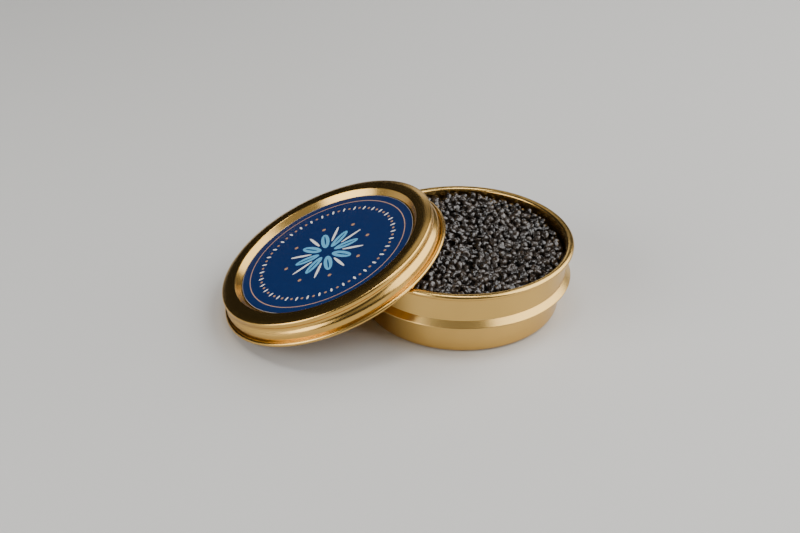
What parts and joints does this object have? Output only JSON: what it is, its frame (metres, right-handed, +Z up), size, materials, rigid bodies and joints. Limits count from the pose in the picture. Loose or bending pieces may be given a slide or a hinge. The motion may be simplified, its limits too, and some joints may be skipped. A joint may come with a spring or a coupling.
{
  "type": "tin of caviar",
  "caption": "Open round slip-lid tin of dark caviar, its lid leaning on the rim and the table.",
  "frame": {"origin": "centre of the tin's flat underside", "axes": "+Z up along the tin's axis; the lid lies towards -X, and the picture looks along +Y and down"},
  "size_m": [0.1005, 0.07, 0.0316],
  "materials": {
    "tin_gold": "gold-lacquered tinplate, satin",
    "roe": "wet, glossy, nearly black roe",
    "lid_gold": "gold-lacquered tinplate, satin",
    "label_print": "coated paper, deep blue print with copper lines"
  },
  "bodies": {
    "root": {"tin": "tin_gold", "caviar": "roe", "lid": "lid_gold", "label": "label_print"}
  },
  "joints": []
}
